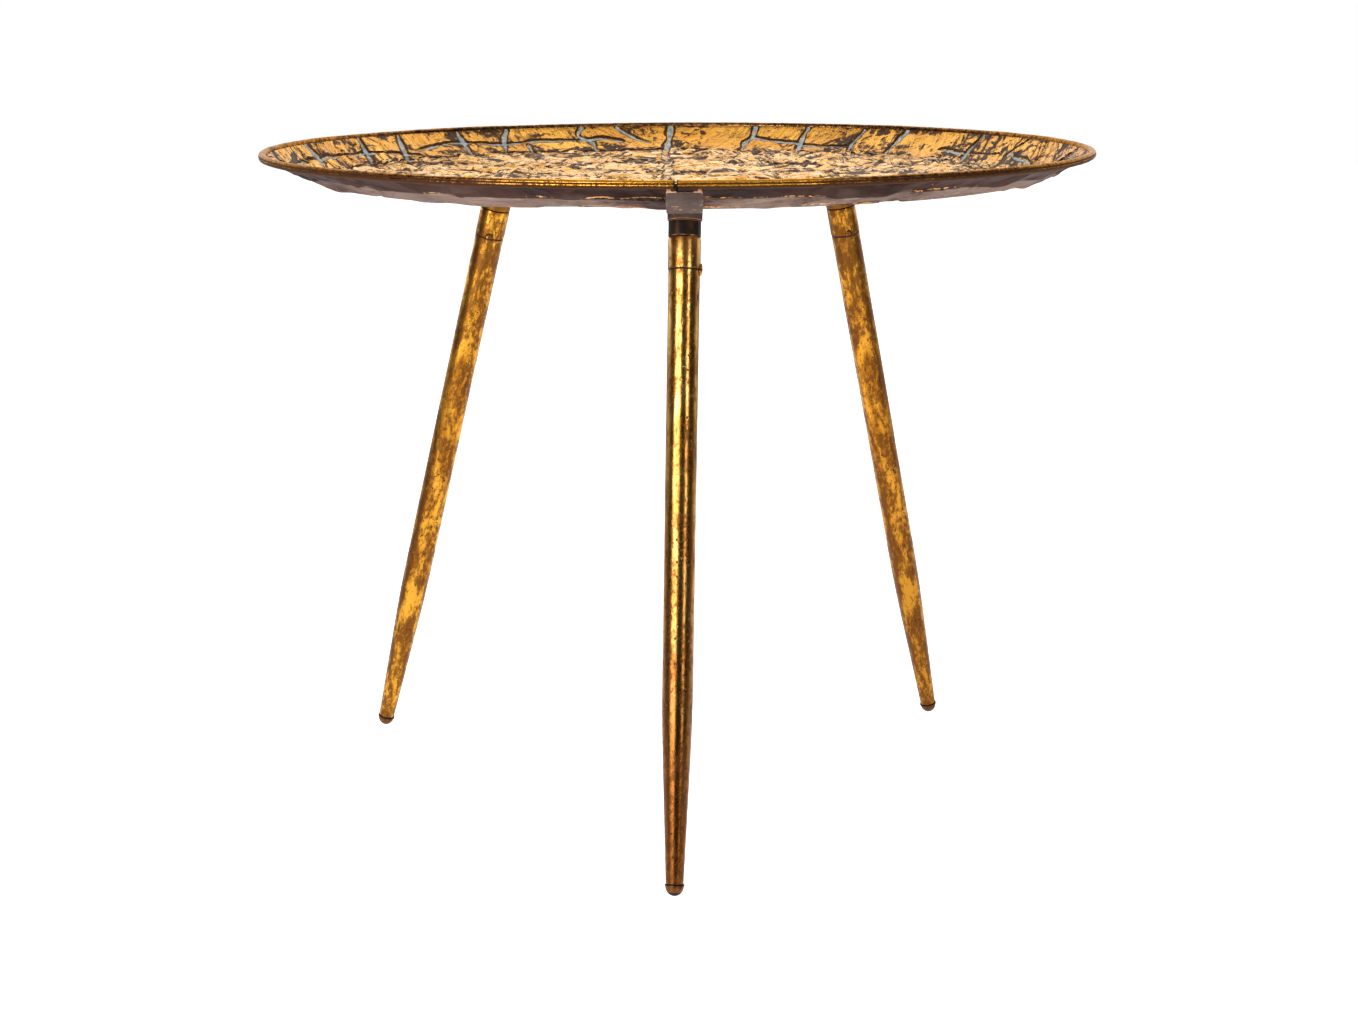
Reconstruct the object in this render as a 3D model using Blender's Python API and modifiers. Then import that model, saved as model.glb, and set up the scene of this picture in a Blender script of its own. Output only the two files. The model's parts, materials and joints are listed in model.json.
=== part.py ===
"""Round hammered tray on three splayed legs, each of which screws into a socket under the tray.

Metres, +Z up. The origin is on the floor under the tray's centre, and the front leg points to -Y.
"""

import math

import bmesh
import bpy
from mathutils import Vector

GAP = 0.0004  # braze line or seat between pieces that touch

# The tray's sheet, turned about Z, and the ring round its edge
RIM_RADIUS = 0.297  # centre line of the ring
RIM_LEVEL = 0.471
RING_SECTION = 0.0029  # radius of the ring's round section
RING_SPLIT = 0.0013  # between the ring's two ends
RING_SPLIT_AZIMUTH = math.radians(-90.2)
BASE_RADIUS = 0.2555  # where the flat base meets the sloping flange
BASE_LEVEL = 0.4537  # top of the base
KNEE_RADIUS = 0.012
SHEET = 0.0015
TRAY_STEPS = 96

# Flat arms under the tray, one over each socket
ARM_WIDTH = 0.0225
ARM_THICKNESS = 0.0025
ARM_INNER_END = 0.118
ARM_OUTER_END = 0.2935
ARM_CORNER = 0.0004

# Legs: where each axis crosses the socket's face and the floor. They were set by hand, so each differs.
SOCKET_FACE_LEVEL = 0.4342
LEGS = {
    "front": {"socket": (0.0049, -0.1461), "foot": (-0.0038, -0.2609), "arm": -90.3, "tack": -8.0},
    "left": {"socket": (-0.1352, 0.0650), "foot": (-0.2405, 0.1176), "arm": 154.3, "tack": -88.0},
    "right": {"socket": (0.1222, 0.0783), "foot": (0.2069, 0.1468), "arm": 32.6, "tack": -78.0},
}
LEG_STEPS = 32

# Socket, measured up the leg's axis from its face
SOCKET_FACE_RADIUS = 0.0117
SOCKET_TOP_RADIUS = 0.0123
SOCKET_HEIGHT = 0.021
BORE_RADIUS = 0.0053
BORE_DEPTH = 0.0130

# Pieces of the leg, measured down its axis from the socket's face
COLLAR_RADIUS = 0.0110
COLLAR_LENGTH = 0.0107
FERRULE_RADIUS = 0.0110
FERRULE_LENGTH = 0.0213
SPIGOT_RADIUS = 0.0086
SPIGOT_LENGTH = 0.0150
STUD_RADIUS = 0.0049
STUD_ENGAGED = 0.0120
STUD_BURIED = 0.0450
TUBE_TOP_RADIUS = 0.0107
TUBE_NECK_RADIUS = 0.0104  # where the long taper to the foot starts
TUBE_END_RADIUS = 0.0060
TUBE_WALL = 0.0015
TAPER_LENGTH = 0.110
CHAMFER = 0.0005

# Plug in the end of the tube, with a round foot
FOOT_RADIUS = 0.0062
SHOULDER_RADIUS = 0.0066
SHOULDER_LENGTH = 0.0016
PLUG_SPIGOT_RADIUS = 0.0041
PLUG_SPIGOT_LENGTH = 0.0120
DOME_STEPS = 6

# Tack of braze across the line between ferrule and tube
TACK_RADII = (0.0015, 0.0030, 0.0046)  # outwards, round the leg, along the leg
TACK_STAND_OFF = 0.0003

COLOURS = {
    "tray_brass": ((0.62, 0.38, 0.11), 0.42, 1.0),
    "ring_brass": ((0.66, 0.42, 0.14), 0.35, 1.0),
    "dark_iron": ((0.11, 0.08, 0.07), 0.62, 0.8),
    "collar_black": ((0.05, 0.035, 0.03), 0.55, 0.8),
    "leg_brass": ((0.63, 0.37, 0.10), 0.33, 1.0),
    "foot_bronze": ((0.16, 0.11, 0.07), 0.5, 0.9),
    "steel": ((0.42, 0.41, 0.40), 0.35, 1.0),
}


def clear_scene():
    for obj in list(bpy.data.objects):
        bpy.data.objects.remove(obj, do_unlink=True)


def new_collection(name):
    collection = bpy.data.collections.new(name)
    bpy.context.scene.collection.children.link(collection)
    return collection


def material(name):
    found = bpy.data.materials.get(name)
    if found:
        return found
    colour, roughness, metallic = COLOURS[name]
    made = bpy.data.materials.new(name)
    made.use_nodes = True
    shader = made.node_tree.nodes["Principled BSDF"]
    shader.inputs["Base Color"].default_value = (*colour, 1.0)
    shader.inputs["Roughness"].default_value = roughness
    shader.inputs["Metallic"].default_value = metallic
    return made


def add_object(name, data, slot, parent=None):
    obj = bpy.data.objects.new(name, data)
    obj.parent = parent
    data.materials.append(material(slot))
    PARTS.objects.link(obj)
    return obj


def turned(name, profile, slot, steps, parent=None, ring=False):
    """A profile of (radius, height) points turned about the local Z axis, down its outer side.

    A ring's profile closes on itself; any other starts and ends on the axis.
    """
    mesh = bpy.data.meshes.new(name)
    count = len(profile)
    edges = [(i, i + 1) for i in range(count - 1)]
    if ring:
        edges.append((count - 1, 0))
    mesh.from_pydata([(radius, 0.0, height) for radius, height in profile], edges, [])
    obj = add_object(name, mesh, slot, parent)
    screw = obj.modifiers.new("turned", "SCREW")
    screw.axis = "Z"
    screw.steps = steps
    screw.render_steps = steps
    screw.use_merge_vertices = True
    screw.merge_threshold = 0.00001
    screw.use_smooth_shade = True
    return obj


def tray_line(depth, end):
    """The tray's section from the base's edge out to radius end, at a depth below its top surface."""
    slope = math.atan2(RIM_LEVEL - BASE_LEVEL, ARM_OUTER_END - BASE_RADIUS)
    start = BASE_RADIUS - KNEE_RADIUS * math.tan(slope / 2)
    bend = KNEE_RADIUS + depth
    angles = [slope * i / 4 for i in range(5)]
    line = [
        (start + bend * math.sin(angle), BASE_LEVEL + KNEE_RADIUS - bend * math.cos(angle))
        for angle in angles
    ]
    radius, level = line[-1]
    line.append((end, level + (end - radius) * math.tan(slope)))
    return line


def tray_pan():
    edge = RIM_RADIUS - RING_SECTION - GAP
    top = [(0.0, BASE_LEVEL), *tray_line(0.0, edge)]
    underside = [*reversed(tray_line(SHEET, edge)), (0.0, BASE_LEVEL - SHEET)]
    return turned("tray_pan", top + underside, "tray_brass", TRAY_STEPS)


def rim_ring():
    """Round rod bent into a circle, whose two ends almost meet at the front."""
    curve = bpy.data.curves.new("rim_ring", "CURVE")
    curve.dimensions = "3D"
    curve.bevel_depth = RING_SECTION
    curve.bevel_resolution = 2
    curve.use_fill_caps = True
    spline = curve.splines.new("POLY")
    spline.points.add(TRAY_STEPS)
    half_split = RING_SPLIT / 2 / RIM_RADIUS
    turn = math.tau - 2 * half_split
    for i, point in enumerate(spline.points):
        angle = RING_SPLIT_AZIMUTH + half_split + turn * i / TRAY_STEPS
        point.co = (
            RIM_RADIUS * math.cos(angle),
            RIM_RADIUS * math.sin(angle),
            RIM_LEVEL,
            1.0,
        )
    return add_object("rim_ring", curve, "ring_brass")


def arm(name, leg):
    """Flat bar that lies along the tray's underside, over the socket and up the flange to the ring."""
    top = tray_line(SHEET + GAP, ARM_OUTER_END)
    bottom = tray_line(SHEET + GAP + ARM_THICKNESS, ARM_OUTER_END)
    outline = [
        (ARM_INNER_END, top[0][1]),
        *top,
        *reversed(bottom),
        (ARM_INNER_END, bottom[0][1]),
    ]
    curve = bpy.data.curves.new(name, "CURVE")
    curve.dimensions = "2D"
    curve.fill_mode = "BOTH"
    curve.extrude = ARM_WIDTH / 2 - ARM_CORNER
    curve.bevel_depth = ARM_CORNER
    curve.bevel_resolution = 1
    curve.offset = -ARM_CORNER
    spline = curve.splines.new("POLY")
    spline.points.add(len(outline) - 1)
    for point, (radius, level) in zip(spline.points, outline):
        point.co = (radius, level, 0.0, 1.0)
    spline.use_cyclic_u = True
    obj = add_object(name, curve, "dark_iron")
    azimuth = math.radians(leg["arm"])
    along = Vector((math.cos(azimuth), math.sin(azimuth)))
    socket = Vector(leg["socket"])
    aside = socket - along * socket.dot(along)
    obj.rotation_euler = (math.pi / 2, 0.0, azimuth)
    obj.location = (aside.x, aside.y, 0.0)
    return obj


def leg_axis(name, leg):
    """An empty at the centre of the socket's face, with its Z axis up the leg."""
    foot = Vector((*leg["foot"], 0.0))
    face = Vector((*leg["socket"], SOCKET_FACE_LEVEL))
    up = (face - foot).normalized()
    axis = bpy.data.objects.new(name, None)
    axis.empty_display_size = 0.05
    axis.location = face
    axis.rotation_mode = "QUATERNION"
    axis.rotation_quaternion = Vector((0.0, 0.0, 1.0)).rotation_difference(up)
    PARTS.objects.link(axis)
    return axis, up.z


def socket_boss(name, axis):
    """Threaded boss, cut off level where it is brazed to the arm."""
    profile = [
        (0.0, SOCKET_HEIGHT),
        (SOCKET_TOP_RADIUS, SOCKET_HEIGHT),
        (SOCKET_FACE_RADIUS, CHAMFER),
        (SOCKET_FACE_RADIUS - CHAMFER, 0.0),
        (BORE_RADIUS, 0.0),
        (BORE_RADIUS, BORE_DEPTH),
        (0.0, BORE_DEPTH + BORE_RADIUS / 4),
    ]
    boss = turned(name, profile, "dark_iron", LEG_STEPS, axis)
    cut = boss.modifiers.new("level_top", "BOOLEAN")
    cut.operation = "DIFFERENCE"
    cut.object = ABOVE_SOCKETS
    return boss


def above_sockets():
    """Block that holds all that lies above the sockets' level tops."""
    side = 2 * RIM_RADIUS
    mesh = bpy.data.meshes.new("above_sockets")
    shape = bmesh.new()
    bmesh.ops.create_cube(shape, size=side)
    shape.to_mesh(mesh)
    shape.free()
    block = bpy.data.objects.new("above_sockets", mesh)
    level = BASE_LEVEL - SHEET - ARM_THICKNESS - 2 * GAP
    block.location = (0.0, 0.0, level + side / 2)
    block.hide_render = True
    block.display_type = "WIRE"
    CUTTERS.objects.link(block)
    return block


def collar(name, axis):
    """Loose dark ring between socket and ferrule, which travels with the leg but doesn't turn."""
    top, bottom = -GAP, -GAP - COLLAR_LENGTH
    profile = [
        (COLLAR_RADIUS - CHAMFER, top),
        (COLLAR_RADIUS, top - CHAMFER),
        (COLLAR_RADIUS, bottom + CHAMFER),
        (COLLAR_RADIUS - CHAMFER, bottom),
        (BORE_RADIUS, bottom),
        (BORE_RADIUS, top),
    ]
    return turned(name, profile, "collar_black", LEG_STEPS, axis, ring=True)


def ferrule(name, axis):
    top = -COLLAR_LENGTH - 2 * GAP
    bottom = top - FERRULE_LENGTH
    profile = [
        (FERRULE_RADIUS - CHAMFER, top),
        (FERRULE_RADIUS, top - CHAMFER),
        (FERRULE_RADIUS, bottom + CHAMFER),
        (FERRULE_RADIUS - CHAMFER, bottom),
        (SPIGOT_RADIUS, bottom),
        (SPIGOT_RADIUS, bottom - SPIGOT_LENGTH),
        (BORE_RADIUS, bottom - SPIGOT_LENGTH),
        (BORE_RADIUS, top),
    ]
    return turned(name, profile, "leg_brass", LEG_STEPS, axis, ring=True)


def stud(name, axis):
    """Threaded rod held in the ferrule, whose free end screws into the socket."""
    profile = [
        (0.0, STUD_ENGAGED),
        (STUD_RADIUS - 2 * CHAMFER, STUD_ENGAGED),
        (STUD_RADIUS, STUD_ENGAGED - 2 * CHAMFER),
        (STUD_RADIUS, -STUD_BURIED),
        (0.0, -STUD_BURIED),
    ]
    return turned(name, profile, "steel", LEG_STEPS // 2, axis)


def foot_centre(rise):
    """The centre of the round foot, which touches the floor straight below it."""
    return -(SOCKET_FACE_LEVEL - FOOT_RADIUS) / rise


def leg_tube(name, axis, rise):
    top = -COLLAR_LENGTH - FERRULE_LENGTH - 3 * GAP
    end = foot_centre(rise) + SHOULDER_LENGTH + GAP
    neck = end + TAPER_LENGTH
    outer = [(TUBE_TOP_RADIUS, top), (TUBE_NECK_RADIUS, neck), (TUBE_END_RADIUS, end)]
    inner = [(radius - TUBE_WALL, level) for radius, level in reversed(outer)]
    return turned(name, outer + inner, "leg_brass", LEG_STEPS, axis, ring=True)


def foot_plug(name, axis, rise):
    centre = foot_centre(rise)
    shoulder = centre + SHOULDER_LENGTH
    dome = [
        (
            FOOT_RADIUS * math.cos(math.pi / 2 * i / DOME_STEPS),
            centre - FOOT_RADIUS * math.sin(math.pi / 2 * i / DOME_STEPS),
        )
        for i in range(DOME_STEPS)
    ]
    profile = [
        (0.0, shoulder + PLUG_SPIGOT_LENGTH),
        (PLUG_SPIGOT_RADIUS, shoulder + PLUG_SPIGOT_LENGTH),
        (PLUG_SPIGOT_RADIUS, shoulder),
        (SHOULDER_RADIUS, shoulder),
        (SHOULDER_RADIUS, centre),
        *dome,
        (0.0, centre - FOOT_RADIUS),
    ]
    return turned(name, profile, "foot_bronze", LEG_STEPS, axis)


def braze_tack(name, axis, azimuth):
    """Low blob of braze that pins the ferrule to the tube. It hugs the ferrule's round side."""
    level = -COLLAR_LENGTH - FERRULE_LENGTH - 2.5 * GAP
    mesh = bpy.data.meshes.new(name)
    shape = bmesh.new()
    bmesh.ops.create_uvsphere(shape, u_segments=16, v_segments=10, radius=1.0)
    bmesh.ops.scale(shape, vec=TACK_RADII, verts=shape.verts)
    shape.to_mesh(mesh)
    shape.free()
    mesh.shade_smooth()
    tack = add_object(name, mesh, "leg_brass", axis)
    turn = math.radians(azimuth)
    tack.location = (FERRULE_RADIUS * math.cos(turn), FERRULE_RADIUS * math.sin(turn), level)
    tack.rotation_euler = (0.0, 0.0, turn)
    cut = tack.modifiers.new("hugs_leg", "BOOLEAN")
    cut.operation = "DIFFERENCE"
    cut.object = leg_core(name + "_core", axis, level)
    return tack


def leg_core(name, axis, level):
    """Solid round bar a little larger than the ferrule, which hollows the tack's back."""
    mesh = bpy.data.meshes.new(name)
    shape = bmesh.new()
    radius = FERRULE_RADIUS + TACK_STAND_OFF
    bmesh.ops.create_cone(
        shape,
        cap_ends=True,
        segments=2 * LEG_STEPS,
        radius1=radius,
        radius2=radius,
        depth=4 * TACK_RADII[2],
    )
    shape.to_mesh(mesh)
    shape.free()
    core = bpy.data.objects.new(name, mesh)
    core.parent = axis
    core.location = (0.0, 0.0, level)
    core.hide_render = True
    core.display_type = "WIRE"
    CUTTERS.objects.link(core)
    return core


def build_leg(side, leg):
    axis, rise = leg_axis(f"leg_{side}_axis", leg)
    arm(f"arm_{side}", leg)
    socket_boss(f"socket_{side}", axis)
    collar(f"collar_{side}", axis)
    ferrule(f"ferrule_{side}", axis)
    stud(f"stud_{side}", axis)
    leg_tube(f"leg_tube_{side}", axis, rise)
    braze_tack(f"tack_{side}", axis, leg["tack"])
    foot_plug(f"foot_plug_{side}", axis, rise)


clear_scene()
PARTS = new_collection("brass_tray_table")
CUTTERS = new_collection("cutters")
ABOVE_SOCKETS = above_sockets()
tray_pan()
rim_ring()
for side_name, leg_data in LEGS.items():
    build_leg(side_name, leg_data)
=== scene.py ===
"""Looks of the brass tray table: relief, patina, threads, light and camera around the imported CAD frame."""

import json
import math

import bpy
import numpy as np
from mathutils import Matrix, Vector

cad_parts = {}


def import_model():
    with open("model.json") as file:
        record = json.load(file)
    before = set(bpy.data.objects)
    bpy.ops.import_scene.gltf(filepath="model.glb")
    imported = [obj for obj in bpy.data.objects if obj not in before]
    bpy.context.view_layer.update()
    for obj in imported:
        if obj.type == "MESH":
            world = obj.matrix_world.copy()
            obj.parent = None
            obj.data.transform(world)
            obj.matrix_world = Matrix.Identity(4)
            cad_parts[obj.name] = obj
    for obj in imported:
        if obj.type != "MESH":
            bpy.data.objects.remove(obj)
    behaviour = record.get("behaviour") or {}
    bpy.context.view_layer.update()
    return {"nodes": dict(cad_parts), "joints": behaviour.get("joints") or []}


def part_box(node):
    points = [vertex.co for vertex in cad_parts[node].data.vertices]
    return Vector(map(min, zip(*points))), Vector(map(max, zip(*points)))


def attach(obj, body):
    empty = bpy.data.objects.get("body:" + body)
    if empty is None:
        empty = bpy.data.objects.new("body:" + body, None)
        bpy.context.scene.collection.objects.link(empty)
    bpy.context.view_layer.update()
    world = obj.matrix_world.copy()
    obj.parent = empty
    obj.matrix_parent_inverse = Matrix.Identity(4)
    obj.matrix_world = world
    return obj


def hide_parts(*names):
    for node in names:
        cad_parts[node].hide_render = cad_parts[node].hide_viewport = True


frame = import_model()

JOINTS = {joint["name"]: joint for joint in frame["joints"]}
SIDES = ("front", "left", "right")

# Tray, from the CAD pan's box
PAN_LOW, PAN_HIGH = (np.array(corner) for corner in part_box("tray_pan"))
PAN_EDGE = PAN_HIGH[0]
TUCK = 0.0007  # how far the sheet runs on into the ring, so that no gap shows
SHEET = 0.0015
BASE_LEVEL = PAN_LOW[2] + SHEET
BASE_RADIUS = 0.2555
RIM_LEVEL = 0.471
RIM_RADIUS = 0.297
RING_SECTION = 0.0029
RING_SPLIT = 0.0013  # between the ring's two ends
KNEE_SOFTNESS = 0.00144
CREASE_RADIUS = 0.277  # where the flange grows steeper
CREASE_DROP = 0.0010  # how far the crease hangs below a straight flange

# Arms, sockets and legs, with the sections of the CAD model. A leg is measured down its axis from the
# socket's face. Radii in brackets run from the socket downwards.
GAP = 0.0004
ARM_THICKNESS = 0.0025
SOCKET_RADII = (0.0123, 0.0117)
SOCKET_HEIGHT = 0.021
BORE_RADIUS, BORE_DEPTH = 0.0053, 0.0130
FITTING_RADIUS = 0.0110  # of collars and ferrules
COLLAR_LENGTH = 0.0107
FERRULE_LENGTH = 0.0213
SPIGOT_RADIUS, SPIGOT_LENGTH = 0.0086, 0.015
TUBE_RADII = (0.0107, 0.0104, 0.0060)  # the middle one is where the long taper starts
TAPER_LENGTH = 0.110
TUBE_WALL = 0.0015
FOOT_RADIUS = 0.0062
SHOULDER_RADIUS, SHOULDER_LENGTH = 0.0066, 0.0016
PLUG_RADIUS, PLUG_LENGTH = 0.0041, 0.012
THREAD_PITCH, THREAD_CREST, THREAD_ROOT = 0.0015, 0.0049, 0.0041
STUD_TOP, STUD_END = 0.012, -0.045
EDGE_ROUNDING = 0.0005


# ---------------- noise


def lattice(cell, seed):
    """A fixed random number from 0 to 1 for each whole-number point of a lattice."""
    mixed = (cell[..., 0] * 73856093) ^ (cell[..., 1] * 19349663) ^ (cell[..., 2] * 83492791)
    mixed = (mixed ^ (seed * 40503 + 977)) & 0xFFFFFFFF
    mixed = ((mixed ^ (mixed >> 13)) * 1274126177) & 0xFFFFFFFF
    mixed = ((mixed ^ (mixed >> 15)) * 2246822519) & 0xFFFFFFFF
    return ((mixed ^ (mixed >> 16)) & 0xFFFF) / 65535.0


def smooth_noise(points, seed):
    """Value noise from -1 to 1 at an (n, 2) or (n, 3) array of points."""
    points = np.asarray(points, float)
    if points.shape[-1] == 2:
        points = np.concatenate([points, np.zeros_like(points[..., :1])], axis=-1)
    cell = np.floor(points).astype(np.int64)
    part = points - cell
    part = part * part * part * (part * (part * 6 - 15) + 10)
    total = 0.0
    for corner in np.ndindex(2, 2, 2):
        weight = np.prod(np.where(corner, part, 1 - part), axis=-1)
        total = total + weight * lattice(cell + np.array(corner), seed)
    return total * 2 - 1


def fractal(points, octaves, seed):
    """Value noise with finer and weaker layers on top of it, from -1 to 1."""
    points = np.asarray(points, float)
    total, size, scale = 0.0, 1.0, 0.0
    for octave in range(octaves):
        total = total + size * smooth_noise(points * 2.03**octave, seed + octave)
        scale += size
        size *= 0.5
    return total / scale


def ridged(points, octaves, seed):
    """Sharp crests at 1 that fall away to valleys near 0."""
    total, size, scale = 0.0, 1.0, 0.0
    for octave in range(octaves):
        total = total + size * (1 - np.abs(smooth_noise(points * 2.07**octave, seed + octave)))
        scale += size
        size *= 0.45
    return total / scale


def facets(first, second, seed):
    """Random heights from -1 to 1 joined by flat triangles, like sheet that was beaten over an edge."""
    cell_a, cell_b = np.floor(first).astype(np.int64), np.floor(second).astype(np.int64)
    part_a, part_b = first - cell_a, second - cell_b

    def height(a, b):
        return lattice(np.stack([a, b, np.zeros_like(a)], axis=-1), seed) * 2 - 1

    low, high = height(cell_a, cell_b), height(cell_a + 1, cell_b + 1)
    right, up = height(cell_a + 1, cell_b), height(cell_a, cell_b + 1)
    under = low + (right - low) * part_a + (high - right) * part_b
    over = low + (high - up) * part_a + (up - low) * part_b
    return np.where(part_a > part_b, under, over)


# ---------------- meshes


def make_object(name, points, faces, materials, smooth=True, sharp=None, attributes=None, indices=None):
    """A mesh object. Edges that turn by more than sharp degrees stay sharp."""
    mesh = bpy.data.meshes.new(name)
    corners = np.concatenate([np.asarray(face, np.int32) for face in faces])
    counts = np.array([len(face) for face in faces])
    mesh.vertices.add(len(points))
    mesh.vertices.foreach_set("co", np.asarray(points, np.float32).ravel())
    mesh.loops.add(len(corners))
    mesh.loops.foreach_set("vertex_index", corners)
    mesh.polygons.add(len(faces))
    starts = np.concatenate([[0], np.cumsum(counts)[:-1]])
    mesh.polygons.foreach_set("loop_start", starts.astype(np.int32))
    for found in materials:
        mesh.materials.append(found)
    if indices is not None:
        mesh.polygons.foreach_set("material_index", indices)
    for key, values in (attributes or {}).items():
        layer = mesh.attributes.new(key, "FLOAT", "POINT")
        layer.data.foreach_set("value", np.asarray(values, np.float32))
    mesh.update(calc_edges=True)
    mesh.validate()
    if smooth:
        mesh.shade_smooth()
    if sharp:
        mesh.set_sharp_from_angle(angle=math.radians(sharp))
    obj = bpy.data.objects.new(name, mesh)
    bpy.context.scene.collection.objects.link(obj)
    return obj


def side_faces(rows, steps):
    """Quads round a piece whose rows, of steps points each, run from its top down."""
    after = [(i + 1) % steps for i in range(steps)]
    return [
        (row + i, row + steps + i, row + steps + after[i], row + after[i])
        for row in range(0, (rows - 1) * steps, steps)
        for i in range(steps)
    ]


def skin_faces(rows, steps):
    """The faces round a piece and those that close its two ends."""
    last = (rows - 1) * steps
    return [*side_faces(rows, steps), tuple(range(steps)), tuple(reversed(range(last, last + steps)))]


def turned(radius, height, steps):
    """Rows of points round Z, one turn each, at columns of radii and heights."""
    angle = np.arange(steps) * math.tau / steps
    rows = [radius * np.cos(angle), radius * np.sin(angle), np.repeat(height, steps, axis=1)]
    return np.stack(rows, axis=-1)


def turned_profile(profile, steps):
    return turned(*np.array(profile, float).T[..., None], steps)


def subdivided(profile, longest):
    """The same outline with points no further apart than longest."""
    out = [profile[0]]
    for start, end in zip(profile, profile[1:]):
        count = max(1, math.ceil(math.dist(start, end) / longest))
        for i in range(1, count + 1):
            out.append(tuple(a + (b - a) * i / count for a, b in zip(start, end)))
    return out


def rounded(profile, radius, steps=3):
    """The outline with its inner corners rounded off."""
    out = [profile[0]]
    for before, corner, after in zip(profile, profile[1:], profile[2:]):
        before, corner, after = (np.array(p, float) for p in (before, corner, after))
        back, on = before - corner, after - corner
        reach = min(radius, np.linalg.norm(back) * 0.45, np.linalg.norm(on) * 0.45)
        start = corner + back / np.linalg.norm(back) * reach
        end = corner + on / np.linalg.norm(on) * reach
        for i in range(steps + 1):
            t = i / steps
            out.append(tuple((1 - t) ** 2 * start + 2 * t * (1 - t) * corner + t * t * end))
    out.append(profile[-1])
    return out


def turned_object(name, profile, steps, found, closed=False, shift=None):
    """A turned piece. Its profile runs down the outer side; a closed one is a ring with a hole."""
    rings = turned_profile(profile, steps)
    if shift:
        shift(rings)
    if closed:
        last = (len(rings) - 1) * steps
        faces = side_faces(len(rings), steps)
        faces += [(last + i, i, (i + 1) % steps, last + (i + 1) % steps) for i in range(steps)]
    else:
        faces = skin_faces(len(rings), steps)
    return make_object(name, rings.reshape(-1, 3), faces, [found], sharp=40)


def leg_matrix(side):
    """Places a leg's local frame: the origin on the socket's face, Z up the leg."""
    joint = JOINTS[f"{side}_leg_screw"]
    up = -Vector(joint["axis"]).normalized()
    turn = Vector((0.0, 0.0, 1.0)).rotation_difference(up)
    return Matrix.Translation(joint["pos_m"]) @ turn.to_matrix().to_4x4()


def settle(piece, side, body, node):
    """Puts a piece on its body in place of a CAD node. side is that of a piece made in a leg's frame."""
    if side:
        piece.matrix_world = leg_matrix(side)
    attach(piece, body)
    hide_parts(node)


# ---------------- materials


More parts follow.
